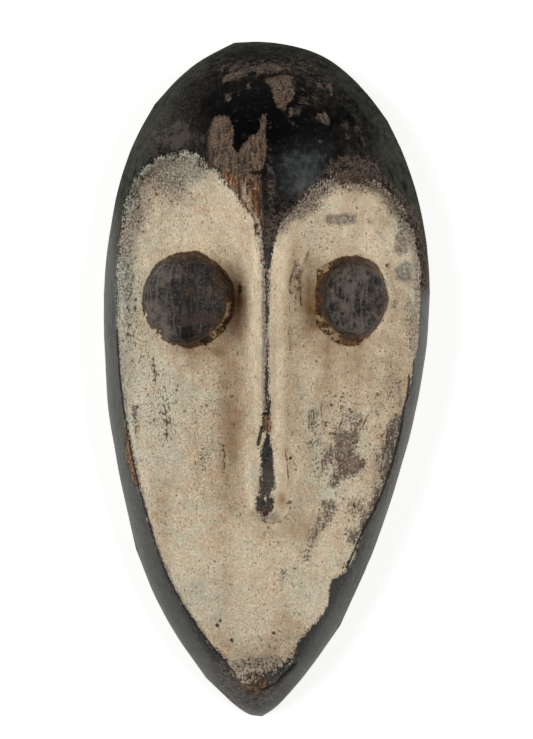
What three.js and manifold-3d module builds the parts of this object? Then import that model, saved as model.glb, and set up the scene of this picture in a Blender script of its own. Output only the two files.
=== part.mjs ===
// A small wooden mask carved from one block, lying on its back rim.
// Millimetres: +X to the viewer's right, +Y to the top of the head, +Z out of the face.
// The back rim is the plane z = 0, and the origin is under the middle of the outline.

import * as THREE from 'three';
import { mergeVertices } from 'three/addons/utils/BufferGeometryUtils.js';
import Module from 'manifold-3d';

const wasm = await Module();
wasm.setup();

// Driving dimensions
const HALF_LENGTH = 100; // the mask is 200 mm from the crown to the point of the chin
const CROWN_X = -3; // the crown's soft corner lies a little left of the middle
const CHIN_X = -2.7; // so does the point of the chin
const KEEL_X = -0.3; // line of the nose and of the ridge up the forehead

// Outline of the back rim: height, reach to the left, reach to the right
const RIM = [
  [-98.2, -6.4, 1.1],
  [-95, -10.7, 5],
  [-88, -17.7, 11.2],
  [-76, -26.6, 19.6],
  [-60, -34.9, 28.1],
  [-40, -40.8, 35.8],
  [-20, -45, 41.7],
  [0, -47.3, 46.2],
  [20, -48.2, 48.1],
  [40, -46.8, 47.4],
  [60, -42.6, 43.2],
  [76, -36, 36.1],
  [88, -26.6, 26.5],
  [96, -16.3, 16.3],
  [99.5, -8.4, 2.6],
];

// Ridge line from the chin over the nose to the forehead
const FOREHEAD_Y = 50; // above this the block rounds over to the crown
const MOUTH_Y = -60; // below this it rounds down to the chin
const KEEL = [[-60, 33.5], [-38, 35.2], [0, 39], [28, 43], [50, 46.5]];
const CROWN_ROUNDING = 0.6; // exponent of the crown's quarter curve
const CHIN_ROUNDING = 1.27;

// Side walls: how far they lean in between the rim and the edge of the face
const EDGE_Z = 18.5; // usual height of the face's edge above the rim
const LEAN = [[-92, 8.6], [-80, 7.6], [-65, 6.8], [-50, 6], [-40, 5.2], [-20, 4.5], [15, 4], [33, 3.9]];
const LEAN_SIDE = 0.7; // the left wall leans this much more, the right this much less
const STEEPEST_EDGE = 0.85; // the edge of the face stays under this share of the ridge's height
const LONGEST_LEAN = 0.6; // and the walls lean in over less than this share of the half width
const WALLS_END = [30, 62]; // heights over which the walls give way to the domed forehead

// Sections of the dome, and the stretch where the ridge runs straight
const KEELED = 1.3; // section exponent of the ridged forehead
const ROUNDED = 2; // and of the crown, where the ridge fades out
const RIDGE_FADES = [60, 96];
const RIDGE_STRAIGHT = [-45, 85];

// Hollowed-out face: height along the middle and at the edge
const FACE_MIDDLE = [
  [-112, 9], [-92, 17.2], [-80, 20.8], [-60, 24.8],
  [-40, 27.6], [0, 31], [34, 33.6], [80, 34.6],
];
const FACE_EDGE = [
  [-112, 9], [-92, 16.8], [-50, 18.5], [-20, 20],
  [24, 20], [46, 15], [62, 11.5], [80, 9],
];
const FACE_BULGE = 1.6; // exponent of the cheeks' gentle outward fall
const FACE_SPREAD = 1.4; // the face's surface runs on past the walls to this share of its half width
const FACE_ENDS = [-84, 92]; // past these heights its width no longer follows the outline
const VALLEY_DEPTH = 1.2; // groove along each side of the nose
const VALLEY_X = 8.5;
const VALLEY_WIDTH = 3.5;
const VALLEY_FADES = [-48, -28]; // below the nose the grooves run out

// Half width of the nose's flat top, a drop shape at its lower end
const NOSE_TIP_Y = -40.2;
const NOSTRIL_Y = -34.8; // below this the nose's sides turn in and steepen towards the tip
const NOSE_TOP = [[-37.8, 1.8], [-34.8, 2.7], [-30, 2.4], [-22, 1.6], [-12, 1], [10, 0.9]];

// Edge of the face against the forehead: from the nose's root over each lobe to the side wall
const LOBE_LEFT = [
  [-1.3, 32], [-3.4, 41.8], [-8.4, 50.3], [-15.4, 59.7], [-24.8, 65],
  [-33.6, 62], [-38.8, 55], [-42, 44], [-46, 32],
];
const LOBE_RIGHT = [
  [0.7, 31], [1.9, 41], [5.4, 49.2], [13.4, 55], [21.4, 60.1],
  [29, 58.8], [36.8, 53.6], [41.6, 46.3], [47, 35],
];
const WIDEST_Y = 20;
const BEYOND = 12; // each cut runs out past the side wall and the chin by this much
const CUT_DRAFT = 0.5; // sideways run of a cut's sloping side for each mm of its depth

// Oval eye stubs: centre, half width and half height at the foot, top as a share of the foot,
// height, tilt outward in degrees, and whittled flats as direction and depth
const EYE_ROOT = 6; // length of the stub buried in the face
const EYE_EDGE = 0.8; // height of the worn edge of its top
const EYE_DOME = 0.6; // rise of the top's middle
const EYES = [
  {
    x: -22.1, y: 22.8, half: [12.9, 13.7], taper: 0.93, rise: 8.6, tilt: 9,
    flats: [[222, 0.8], [296, 0.7], [130, 0.5], [20, 0.3]],
  },
  {
    x: 24.5, y: 22.9, half: [10.5, 12.3], taper: 0.88, rise: 7.8, tilt: 6,
    flats: [[135, 0.5], [232, 0.3], [318, 0.3]],
  },
];

// Hollow of the back
const RIM_THICKNESS = 6.2;
const HOLLOW_DEPTH = [
  [-90, 0], [-80, 7], [-64, 12.5], [-40, 17.5], [0, 21.5],
  [30, 24], [56, 24], [80, 18], [93, 0],
];
const HOLLOW_ROUNDING = 2.4;

const PALE_PAINT = 0xc7b294;

// Smooth curve through a short table of rows [y, value, ...]; column picks the value
function along(table, y, column = 1) {
  const last = table.length - 1;
  if (y <= table[0][0]) return table[0][column];
  if (y >= table[last][0]) return table[last][column];
  let i = 0;
  while (table[i + 1][0] < y) i += 1;
  const slope = (k) => {
    const a = table[Math.max(k - 1, 0)];
    const b = table[Math.min(k + 1, last)];
    return (b[column] - a[column]) / (b[0] - a[0]);
  };
  const span = table[i + 1][0] - table[i][0];
  const t = (y - table[i][0]) / span;
  const t2 = t * t;
  const t3 = t2 * t;
  return table[i][column] * (2 * t3 - 3 * t2 + 1)
    + slope(i) * span * (t3 - 2 * t2 + t)
    + table[i + 1][column] * (3 * t2 - 2 * t3)
    + slope(i + 1) * span * (t3 - t2);
}

const { clamp, lerp, smoothstep } = THREE.MathUtils;

// Closed outline of the rim, anticlockwise from the chin, and its reach to either side at a height
const OUTLINE_STEPS = 1200;
const rimCurve = new THREE.CatmullRomCurve3([
  new THREE.Vector3(CHIN_X, -HALF_LENGTH, 0),
  ...RIM.map(([y, , right]) => new THREE.Vector3(right, y, 0)),
  new THREE.Vector3(CROWN_X, HALF_LENGTH, 0),
  ...RIM.toReversed().map(([y, left]) => new THREE.Vector3(left, y, 0)),
], true, 'centripetal');

function outlineSide(side, inset) {
  const points = [];
  for (let i = 0; i <= OUTLINE_STEPS; i += 1) {
    const t = i / OUTLINE_STEPS;
    const p = rimCurve.getPoint(t);
    const tangent = rimCurve.getTangent(t);
    const inward = new THREE.Vector3(-tangent.y, tangent.x, 0).multiplyScalar(inset);
    const onSide = side > 0 ? t <= 0.5 : t >= 0.5;
    if (onSide) points.push(p.add(inward));
  }
  return points;
}

function widest(points, y, side) {
  let best = 0;
  for (let i = 1; i < points.length; i += 1) {
    const [a, b] = [points[i - 1], points[i]];
    if ((a.y - y) * (b.y - y) > 0 || a.y === b.y) continue;
    const x = lerp(a.x, b.x, (y - a.y) / (b.y - a.y));
    best = Math.max(best, (x - keelX(y)) * side);
  }
  return best;
}

const outer = { left: outlineSide(-1, 0), right: outlineSide(1, 0) };
const inner = { left: outlineSide(-1, RIM_THICKNESS), right: outlineSide(1, RIM_THICKNESS) };
const reach = (y, side) => widest(side < 0 ? outer.left : outer.right, y, side);
const innerReach = (y, side) => widest(side < 0 ? inner.left : inner.right, y, side);

// The ridge line drifts over to the crown's corner and to the point of the chin
function keelX(y) {
  const upper = smoothstep(y, RIDGE_STRAIGHT[1], HALF_LENGTH);
  const lower = smoothstep(-y, -RIDGE_STRAIGHT[0], HALF_LENGTH);
  return KEEL_X + (CROWN_X - KEEL_X) * upper + (CHIN_X - KEEL_X) * lower;
}

function keelZ(y) {
  if (y > FOREHEAD_Y) {
    const t = clamp((y - FOREHEAD_Y) / (HALF_LENGTH - FOREHEAD_Y), 0, 1);
    return along(KEEL, y) * (1 - t * t) ** CROWN_ROUNDING;
  }
  const t = clamp((MOUTH_Y - y) / (HALF_LENGTH + MOUTH_Y), 0, 1);
  return along(KEEL, y) * Math.sqrt(1 - t ** CHIN_ROUNDING);
}

// Section of the uncut block: z = keel (1 - q^fullness)^1/2, with q = 1 at the rim
function fullness(y, side) {
  const crown = lerp(KEELED, ROUNDED, smoothstep(y, ...RIDGE_FADES));
  const lean = along(LEAN, y) - side * LEAN_SIDE;
  const edge = Math.min(EDGE_Z / keelZ(y), STEEPEST_EDGE);
  const q = 1 - Math.min(lean / reach(y, side), LONGEST_LEAN);
  const wall = Math.log(1 - edge * edge) / Math.log(q);
  return lerp(wall, crown, smoothstep(y, ...WALLS_END));
}

function blockZ(x, y) {
  if (Math.abs(y) >= HALF_LENGTH) return 0;
  const side = x < keelX(y) ? -1 : 1;
  const q = Math.abs(x - keelX(y)) / reach(y, side);
  if (q >= 1) return 0;
  return keelZ(y) * Math.sqrt(1 - q ** fullness(y, side));
}

function faceZ(x, y) {
  const inside = clamp(y, ...FACE_ENDS);
  const side = x < keelX(inside) ? -1 : 1;
  const half = reach(inside, side) - along(LEAN, y);
  const q = Math.min(Math.abs(x - keelX(inside)) / half, FACE_SPREAD);
  const middle = along(FACE_MIDDLE, y);
  const edge = along(FACE_EDGE, y);
  const groove = (Math.abs(x - KEEL_X) - VALLEY_X) / VALLEY_WIDTH;
  const fade = smoothstep(y, ...VALLEY_FADES);
  return middle - (middle - edge) * q ** FACE_BULGE - VALLEY_DEPTH * fade * Math.exp(-groove * groove);
}

// A closed body from points and triangles, with coinciding points merged
function solidFrom(points, triangles) {
  const geometry = new THREE.BufferGeometry();
  geometry.setAttribute('position', new THREE.Float32BufferAttribute(points.flat(), 3));
  geometry.setIndex(triangles);
  const merged = mergeVertices(geometry, 1e-4);
  const kept = [];
  const index = merged.index.array;
  for (let i = 0; i < index.length; i += 3) {
    const [a, b, c] = [index[i], index[i + 1], index[i + 2]];
    if (a !== b && b !== c && c !== a) kept.push(a, b, c);
  }
  const mesh = new wasm.Mesh({
    numProp: 3,
    vertProperties: merged.attributes.position.array,
    triVerts: new Uint32Array(kept),
  });
  return new wasm.Manifold(mesh);
}

// Body between an upper and a lower sheet of points, both rows x columns, joined at their borders
function between(upper, lower) {
  const rows = upper.length;
  const columns = upper[0].length;
  const points = [...upper.flat(), ...lower.flat()];
  const high = (r, c) => r * columns + c;
  const low = (r, c) => (rows + r) * columns + c;
  const triangles = [];
  const quad = (a, b, c, d) => triangles.push(a, b, c, a, c, d);
  for (let r = 0; r + 1 < rows; r += 1) {
    for (let c = 0; c + 1 < columns; c += 1) {
      quad(high(r, c), high(r, c + 1), high(r + 1, c + 1), high(r + 1, c));
      quad(low(r, c), low(r + 1, c), low(r + 1, c + 1), low(r, c + 1));
    }
    quad(low(r, 0), high(r, 0), high(r + 1, 0), low(r + 1, 0));
    quad(high(r, columns - 1), low(r, columns - 1), low(r + 1, columns - 1), high(r + 1, columns - 1));
  }
  for (let c = 0; c + 1 < columns; c += 1) {
    quad(low(0, c), low(0, c + 1), high(0, c + 1), high(0, c));
    quad(high(rows - 1, c), high(rows - 1, c + 1), low(rows - 1, c + 1), low(rows - 1, c));
  }
  return solidFrom(points, triangles);
}

// Rows close up towards both ends, where the outline turns in
const ROWS = 60;
const endwise = (j) => -Math.cos((Math.PI * j) / ROWS);
const STEPS = 11;

function block() {
  const upper = [];
  const lower = [];
  for (let j = 0; j <= ROWS; j += 1) {
    const y = HALF_LENGTH * endwise(j);
    const end = j === 0 || j === ROWS;
    const row = [];
    for (let k = -STEPS; k <= STEPS; k += 1) {
      const side = k < 0 ? -1 : 1;
      const turn = (Math.PI / 2) * (1 - Math.abs(k) / STEPS);
      const q = end || k === 0 ? 0 : Math.cos(turn) ** (2 / fullness(y, side));
      const x = keelX(y) + side * q * (end ? 0 : reach(y, side));
      row.push([x, y, end ? 0 : keelZ(y) * Math.sin(turn)]);
    }
    upper.push(row);
    lower.push(row.map(([x, yy]) => [x, yy, 0]));
  }
  return between(upper, lower);
}

// Everything above the face's own surface. Its columns stand closer together beside the nose.
const FACE_SHARES = [0.12, 0.18, 0.25, 0.32, 0.42, 0.55, 0.7, 0.85, 1, FACE_SPREAD];
const FACE_COLUMNS = [...FACE_SHARES.toReversed().map((share) => -share), 0, ...FACE_SHARES];
const FACE_ROWS = 34;
const ABOVE_ALL = 80;
const BELOW_ALL = -5;

function aboveFace() {
  const upper = [];
  const lower = [];
  const [low, high] = [FACE_MIDDLE[0][0], FACE_MIDDLE.at(-1)[0]];
  for (let j = 0; j <= FACE_ROWS; j += 1) {
    const y = lerp(low, high, j / FACE_ROWS);
    const inside = clamp(y, ...FACE_ENDS);
    const row = FACE_COLUMNS.map((q) => KEEL_X + q * reach(inside, Math.sign(q) || 1));
    lower.push(row.map((x) => [x, y, faceZ(x, y)]));
    upper.push(row.map((x) => [x, y, ABOVE_ALL]));
  }
  return between(upper, lower);
}

// The cut for one lobe of the face. Its plan runs up the side of the nose, along the forehead's
// edge, and out past the wall and the chin. Its side slopes, so the nose keeps a broad foot.
const EDGE_STEPS = 64;
const MARGIN = 1; // overlap between cutting bodies
const LOBE_MIDDLE = [24, -20];

function lobeCut(lobe, side) {
  const noseSide = NOSE_TOP.map(([y, half]) => [KEEL_X + side * half, y]);
  const edge = [[KEEL_X, NOSE_TIP_Y], ...noseSide, ...lobe];
  const curve = new THREE.SplineCurve(edge.map(([x, y]) => new THREE.Vector2(x, y)));
  const plan = [];
  for (let i = 0; i <= EDGE_STEPS; i += 1) {
    const point = curve.getPointAt(i / EDGE_STEPS);
    const tangent = curve.getTangentAt(i / EDGE_STEPS);
    const outward = new THREE.Vector2(-tangent.y, tangent.x).multiplyScalar(side);
    const slope = clamp((point.y - NOSE_TIP_Y) / (NOSTRIL_Y - NOSE_TIP_Y), 0, 1);
    const rise = Math.max(blockZ(point.x, point.y) - faceZ(point.x, point.y), 0);
    plan.push({ point, outward: outward.multiplyScalar(slope), rise });
  }
  const still = new THREE.Vector2(0, 0);
  const wide = side * (reach(WIDEST_Y, side) + BEYOND);
  const far = -HALF_LENGTH - BEYOND;
  for (const [x, y] of [[wide, lobe.at(-1)[1]], [wide, far], [KEEL_X, far], [KEEL_X, NOSE_TIP_Y]]) {
    plan.push({ point: new THREE.Vector2(x, y), outward: still, rise: 0 });
  }
  const ring = (shift, height) => plan.map(({ point, outward, rise }) => {
    const moved = outward.clone().multiplyScalar(CUT_DRAFT * shift(rise)).add(point);
    return [moved.x, moved.y, height(point)];
  });
  const face = (point) => faceZ(point.x, point.y);
  const rings = [
    ring((rise) => -rise - MARGIN, (point) => face(point) - MARGIN),
    ring(() => MARGIN, (point) => Math.max(blockZ(point.x, point.y), face(point)) + MARGIN),
    ring(() => MARGIN, () => ABOVE_ALL),
  ];
  const count = plan.length;
  const [x, y] = [side * LOBE_MIDDLE[0], LOBE_MIDDLE[1]];
  const points = [...rings.flat(), [x, y, 0], [x, y, ABOVE_ALL]];
  const triangles = [];
  const add = (a, b, c) => (side > 0 ? triangles.push(a, b, c) : triangles.push(a, c, b));
  for (let i = 0; i < count; i += 1) {
    const next = (i + 1) % count;
    for (let r = 0; r < 2; r += 1) {
      const [a, b] = [r * count + i, r * count + next];
      add(a, a + count, b);
      add(b, a + count, b + count);
    }
    add(3 * count, i, next);
    add(3 * count + 1, 2 * count + next, 2 * count + i);
  }
  return solidFrom(points, triangles);
}

// One eye stub: a tapered drum with whittled flats, leaning outward
const EYE_SIDES = 36;

function eye({ x, y, half, taper, rise, tilt, flats }) {
  const lean = THREE.MathUtils.degToRad(tilt) * Math.sign(x);
  const placed = new THREE.Matrix4().makeRotationY(lean);
  placed.setPosition(x, y, faceZ(x, y));
  const trimmed = (angle) => flats.reduce((shortest, [direction, depth]) => {
    const off = Math.cos(THREE.MathUtils.degToRad(angle - direction));
    return off > 0.5 ? Math.min(shortest, (1 - depth / half[0]) / off) : shortest;
  }, 1);
  const worn = EYE_EDGE / half[0];
  const rings = [
    [1, -EYE_ROOT],
    [1, 0],
    [taper + worn / 2, rise - EYE_EDGE],
    [taper - worn, rise],
    [taper / 2, rise + EYE_DOME * 0.8],
  ];
  const points = [new THREE.Vector3(0, 0, -EYE_ROOT), new THREE.Vector3(0, 0, rise + EYE_DOME)];
  for (const [share, z] of rings) {
    for (let i = 0; i < EYE_SIDES; i += 1) {
      const angle = (360 * i) / EYE_SIDES;
      const r = share * trimmed(angle);
      const a = THREE.MathUtils.degToRad(angle);
      points.push(new THREE.Vector3(half[0] * r * Math.cos(a), half[1] * r * Math.sin(a), z));
    }
  }
  const triangles = [];
  const last = 2 + (rings.length - 1) * EYE_SIDES;
  for (let i = 0; i < EYE_SIDES; i += 1) {
    const next = (i + 1) % EYE_SIDES;
    triangles.push(0, 2 + next, 2 + i);
    triangles.push(1, last + i, last + next);
    for (let r = 0; r + 1 < rings.length; r += 1) {
      const a = 2 + r * EYE_SIDES + i;
      const b = 2 + r * EYE_SIDES + next;
      triangles.push(a, b, b + EYE_SIDES, a, b + EYE_SIDES, a + EYE_SIDES);
    }
  }
  return solidFrom(points.map((p) => p.applyMatrix4(placed).toArray()), triangles);
}

// The hollowed-out back, open at the rim
const HOLLOW_ROWS = 30;
const HOLLOW_STEPS = 8;

function hollow() {
  const upper = [];
  const lower = [];
  const [low, high] = [HOLLOW_DEPTH[0][0], HOLLOW_DEPTH.at(-1)[0]];
  for (let j = 0; j <= HOLLOW_ROWS; j += 1) {
    const y = lerp(low, high, (1 - Math.cos((Math.PI * j) / HOLLOW_ROWS)) / 2);
    const end = j === 0 || j === HOLLOW_ROWS;
    const depth = along(HOLLOW_DEPTH, y);
    const row = [];
    for (let k = -HOLLOW_STEPS; k <= HOLLOW_STEPS; k += 1) {
      const side = k < 0 ? -1 : 1;
      const turn = (Math.PI / 2) * (1 - Math.abs(k) / HOLLOW_STEPS);
      const half = end ? 0 : innerReach(y, side);
      const q = k === 0 ? 0 : Math.cos(turn) ** (2 / HOLLOW_ROUNDING);
      row.push([keelX(y) + side * q * half, y, end ? 0 : depth * Math.sin(turn)]);
    }
    upper.push(row);
    lower.push(row.map(([x, yy]) => [x, yy, BELOW_ALL]));
  }
  return between(upper, lower);
}

// The block, less the two halves of the face, with the eye stubs left standing and the back hollowed
function carve() {
  const cut = lobeCut(LOBE_LEFT, -1).add(lobeCut(LOBE_RIGHT, 1)).intersect(aboveFace());
  let solid = block().subtract(cut);
  for (const stub of EYES) solid = solid.add(eye(stub));
  return solid.subtract(hollow());
}

function toGeometry(solid) {
  const { vertProperties, triVerts } = solid.getMesh();
  const geometry = new THREE.BufferGeometry();
  geometry.setAttribute('position', new THREE.BufferAttribute(vertProperties, 3));
  geometry.setIndex(new THREE.BufferAttribute(triVerts, 1));
  geometry.computeVertexNormals();
  return geometry;
}

const wood = new THREE.MeshStandardMaterial({ color: PALE_PAINT, roughness: 0.85, metalness: 0 });
const mask = new THREE.Mesh(toGeometry(carve()), wood);
mask.name = 'mask';

const miniatureMask = new THREE.Group();
miniatureMask.add(mask);

export default miniatureMask;
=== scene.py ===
# %% [markdown]
# # A miniature mask of painted wood
# The mask is one block of pale hardwood. Its forehead and side walls were blackened and polished,
# its hollowed face was whitened with earth, and all of it has worn since. The CAD model already
# holds the whole form, so this lesson gives that form a hand-carved surface and its three finishes.
# First the fixed frame is loaded.

import bpy
import numpy as np
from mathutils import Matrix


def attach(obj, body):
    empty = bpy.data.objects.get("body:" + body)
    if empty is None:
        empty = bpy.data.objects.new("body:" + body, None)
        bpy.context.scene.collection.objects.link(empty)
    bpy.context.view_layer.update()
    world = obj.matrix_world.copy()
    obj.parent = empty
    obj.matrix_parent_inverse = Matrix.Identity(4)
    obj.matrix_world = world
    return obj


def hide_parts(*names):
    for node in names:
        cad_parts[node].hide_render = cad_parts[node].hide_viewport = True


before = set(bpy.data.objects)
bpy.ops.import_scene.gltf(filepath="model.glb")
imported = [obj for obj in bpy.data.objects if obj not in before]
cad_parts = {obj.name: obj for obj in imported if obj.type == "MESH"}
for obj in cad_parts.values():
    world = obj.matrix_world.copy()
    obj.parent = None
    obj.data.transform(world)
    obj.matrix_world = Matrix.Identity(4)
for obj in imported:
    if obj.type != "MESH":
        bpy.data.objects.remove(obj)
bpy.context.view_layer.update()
scene = bpy.context.scene
MM = 0.001

# %% [markdown]
# ## Camera
# The photograph looks straight at the face from arm's length or more: both side walls show, equally
# steep. The mask lies on its back rim, so the camera hangs above it. The lens follows from how high
# it hangs and how much of the floor the picture shows.

# %% Hang the camera over the mask
CAMERA_HEIGHT = 1200.0
FRAME_HEIGHT = 218.7
FRAME_MIDDLE = np.array([0.15, 2.74])
SENSOR = 36.0

camera = bpy.data.objects.new("camera", bpy.data.cameras.new("camera"))
scene.collection.objects.link(camera)
camera.location = (FRAME_MIDDLE[0] * MM, FRAME_MIDDLE[1] * MM, CAMERA_HEIGHT * MM)
camera.data.sensor_fit = "VERTICAL"
camera.data.sensor_height = SENSOR
camera.data.sensor_width = SENSOR
camera.data.lens = SENSOR * CAMERA_HEIGHT / FRAME_HEIGHT
scene.camera = camera
print("lens in mm:", round(camera.data.lens, 1))

# %% [markdown]
# ## One function for nodes, one for colours
# Every finish is a graph of shader nodes. One function adds a node, sets its options, and fills its
# inputs with numbers or with other nodes' outputs. Colours are written as they look on a screen, in
# sRGB hex, but shaders count in linear light, so a second function converts them.

# %% Add a node, and turn a screen colour to linear light
def add(tree, kind, inputs=(), out=0, **options):
    """Adds one shader node with its options, fills its inputs, and returns one output."""
    made = tree.nodes.new("ShaderNode" + kind)
    for name, value in options.items():
        setattr(made, name, value)
    for key, value in dict(inputs).items():
        if isinstance(value, bpy.types.NodeSocket):
            tree.links.new(value, made.inputs[key])
        else:
            made.inputs[key].default_value = value
    return made.outputs[out]


def linear(hex_colour):
    """The linear RGBA of an sRGB colour written as six hex digits."""
    parts = [int(hex_colour[i : i + 2], 16) / 255 for i in (0, 2, 4)]
    light = [p / 12.92 if p <= 0.04045 else ((p + 0.055) / 1.055) ** 2.4 for p in parts]
    return (*light, 1.0)


def new_material(name):
    """An empty material, its node tree, and the socket that takes the finished shader."""
    material = bpy.data.materials.new(name)
    material.use_nodes = True
    tree = material.node_tree
    tree.nodes.clear()
    output = tree.nodes.new("ShaderNodeOutputMaterial")
    return material, tree, output.inputs["Surface"]


print("cream in linear light:", [round(value, 3) for value in linear("d8c4a0")[:3]])

# %% [markdown]
# ## Studio
# Two large soft lights stand left and right of the mask: both flanks of the nose are as bright as
# the cheeks, and the eye stubs throw soft shadows inwards. Nothing bright hangs near the camera, so
# the polished forehead, which mirrors that direction, is nearly black. The steep side walls mirror
# the white floor, which is why they look grey.

# %% Build the floor and the two soft lights
FLOOR_SIZE = 4.0
FLOOR_GLOW = 0.55
FLOOR_GAP = 0.05
WORLD_GLOW = 0.04

half = FLOOR_SIZE / 2
below = -FLOOR_GAP * MM
corners = [(-half, -half, below), (half, -half, below), (half, half, below), (-half, half, below)]
floor_mesh = bpy.data.meshes.new("floor")
floor_mesh.from_pydata(corners, [], [(0, 1, 2, 3)])
floor = bpy.data.objects.new("floor", floor_mesh)
scene.collection.objects.link(floor)

paper, tree, surface = new_material("white_paper")
lit_paper = {"Base Color": linear("f4f4f2"), "Roughness": 0.9, "Emission Color": linear("ffffff")}
shader = add(tree, "BsdfPrincipled", {**lit_paper, "Emission Strength": FLOOR_GLOW})
tree.links.new(shader, surface)
floor_mesh.materials.append(paper)


def soft_light(name, place, size, power):
    """An area light that faces the mask, with its place and size in metres."""
    data = bpy.data.lights.new(name, "AREA")
    data.shape = "RECTANGLE"
    data.size, data.size_y = size
    data.energy = power
    light = bpy.data.objects.new(name, data)
    scene.collection.objects.link(light)
    light.location = place
    light.rotation_mode = "QUATERNION"
    light.rotation_quaternion = (-light.location).to_track_quat("-Z", "Y")
    return light


soft_light("left_softbox", (-0.95, 0.12, 0.72), (0.7, 1.0), 11.0)
soft_light("right_softbox", (0.95, 0.0, 0.72), (0.7, 1.0), 10.0)

world = bpy.data.worlds.new("studio")
world.use_nodes = True
backdrop = world.node_tree.nodes["Background"]
backdrop.inputs["Color"].default_value = linear("ffffff")
backdrop.inputs["Strength"].default_value = WORLD_GLOW
scene.world = world
scene.view_settings.view_transform = "Standard"

# %% [markdown]
# ## A fine skin to carve
# The CAD model's few thousand large triangles hold its shape, but are too coarse for tool marks.
# Voxel remeshing lays an even skin of little squares over it, here 0.6 mm wide, two pixels of the
# picture. The mesh is kept as plain arrays in millimetres, so that every later step is a short sum
# over all its points at once.

# %% Lay an even skin over the CAD model
SKIN = 0.6

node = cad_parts["mask"]
rough = bpy.data.objects.new("rough_mask", node.data.copy())
scene.collection.objects.link(rough)
remesh = rough.modifiers.new("even skin", "REMESH")
remesh.mode = "VOXEL"
remesh.voxel_size = SKIN * MM
evaluated = rough.evaluated_get(bpy.context.evaluated_depsgraph_get())
skin = bpy.data.meshes.new_from_object(evaluated)
bpy.data.objects.remove(rough)
skin.name = "painted_mask"

mask = bpy.data.objects.new("painted_mask", skin)
scene.collection.objects.link(mask)
skin.materials.clear()


def points_of(mesh):
    """Every vertex of a mesh in millimetres."""
    flat = np.empty(len(mesh.vertices) * 3, np.float32)
    mesh.vertices.foreach_get("co", flat)
    return flat.reshape(-1, 3).astype(float) / MM


def normals_of(mesh, points):
    """Puts the points into the mesh and returns its vertex normals."""
    mesh.vertices.foreach_set("co", (points * MM).astype(np.float32).ravel())
    mesh.update()
    flat = np.empty(len(points) * 3, np.float32)
    mesh.vertex_normals.foreach_get("vector", flat)
    return flat.reshape(-1, 3).astype(float)


def edges_of(mesh):
    """The two vertex numbers of every edge."""
    flat = np.empty(len(mesh.edges) * 2, np.int32)
    mesh.edges.foreach_get("vertices", flat)
    return flat.reshape(-1, 2).T


points = points_of(skin)
print("skin of", len(points), "points and", len(skin.polygons), "faces")

# %% [markdown]
# ## Take out the facets, keep the edges
# The skin still shows the large triangles under it. Averaging each point with its neighbours would
# blur them away, but also the crisp edges of the nose and the eyes. So a neighbour counts less the
# more its surface turns. A few plain passes go first, because no edge on worn wood is sharper than
# about half a millimetre.

# %% Relax the skin without losing its edges
WORN_PASSES = 3
FAIR_ROUNDS = 9
FAIR_PASSES = 10
EDGE_TURN = 0.012
STEP = 0.5


def neighbours(values, ends, weight=None):
    """For each point, the weighted mean of the values at its neighbours."""
    a, b = ends
    weight = np.ones(len(a)) if weight is None else weight
    columns = values.reshape(len(values), -1)
    count = len(values)
    total = np.bincount(a, weight, count) + np.bincount(b, weight, count) + 1e-12
    means = [
        (np.bincount(a, weight * c[b], count) + np.bincount(b, weight * c[a], count)) / total
        for c in columns.T
    ]
    return np.stack(means, axis=1).reshape(values.shape)


ends = edges_of(skin)
for _ in range(WORN_PASSES):
    points += STEP * (neighbours(points, ends) - points)
for _ in range(FAIR_ROUNDS):
    normals = normals_of(skin, points)
    turn = 1 - np.einsum("ij,ij->i", normals[ends[0]], normals[ends[1]])
    weight = np.exp(-turn / EDGE_TURN) + 1e-4
    for _ in range(FAIR_PASSES):
        points += STEP * (neighbours(points, ends, weight) - points)
normals = normals_of(skin, points)
print("relaxed in", WORN_PASSES + FAIR_ROUNDS * FAIR_PASSES, "passes")

# %% [markdown]
# ## Lumps without a pattern
# Hand work is never even. This function gives smooth random values from -1 to 1, with lumps of a
# chosen size in millimetres. It scrambles the corner numbers of a grid with large primes and blends
# between the corners, so the same seed always gives the same lumps. Stretched along Y, they follow
# the grain.

# %% Smooth random lumps
GRAIN = np.array([1.0, 0.16, 1.0])
LUMP_GAIN = 1.4
PRIMES = (73856093, 19349663, 83492791)
SEED_PRIME = 2654435761
STIRS = ((15, 2246822519), (13, 3266489917))
BITS_32 = 0xFFFFFFFF


def lumps(places, size, seed, octaves=2):
    """Random values from -1 to 1 that change over about size mm."""
    total = np.zeros(len(places))
    reach = 0.0
    for octave in range(octaves):
        scaled = places / size * 2**octave + 100.0
        cell = np.floor(scaled).astype(np.int64)
        part = scaled - cell
        part = part * part * (3 - 2 * part)
        value = np.zeros(len(places))
        for corner in range(8):
            step = np.array([corner & 1, corner >> 1 & 1, corner >> 2])
            x, y, z = ((cell + step) * PRIMES).T
            mixed = (x ^ y ^ z ^ (seed + octave) * SEED_PRIME) & BITS_32
            for shift, prime in STIRS:
                mixed = (mixed ^ mixed >> shift) * prime & BITS_32
            share = np.prod(np.where(step, part, 1 - part), axis=1)
            value += share * ((mixed >> 16 & 0xFFFF) / 32767.5 - 1)
        total += value / 2**octave
        reach += 1 / 2**octave
    return total / reach * LUMP_GAIN


def ramp(values, low, high):
    """A soft step from 0 at low to 1 at high."""
    t = np.clip((values - low) / (high - low), 0, 1)
    return t * t * (3 - 2 * t)


print("lumps range", np.round(np.percentile(lumps(points[:20000], 6.0, 1), [1, 50, 99]), 2))

# %% [markdown]
# ## Places in the front view
# Marks were measured in the photograph and are written in millimetres, as lists of x, y, x, y and
# so on, where the camera sees them on the plane of the floor. A raised point looks a little further
# out than it is, so every point of the skin is projected the same way before its distance to a mark
# is measured.

# %% Project the skin, and measure distances to lines and outlines
def front(places):
    """Where the camera sees each point on the plane of the floor, in mm."""
    share = CAMERA_HEIGHT / (CAMERA_HEIGHT - places[:, 2:3])
    return (places[:, :2] - FRAME_MIDDLE) * share + FRAME_MIDDLE


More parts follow.
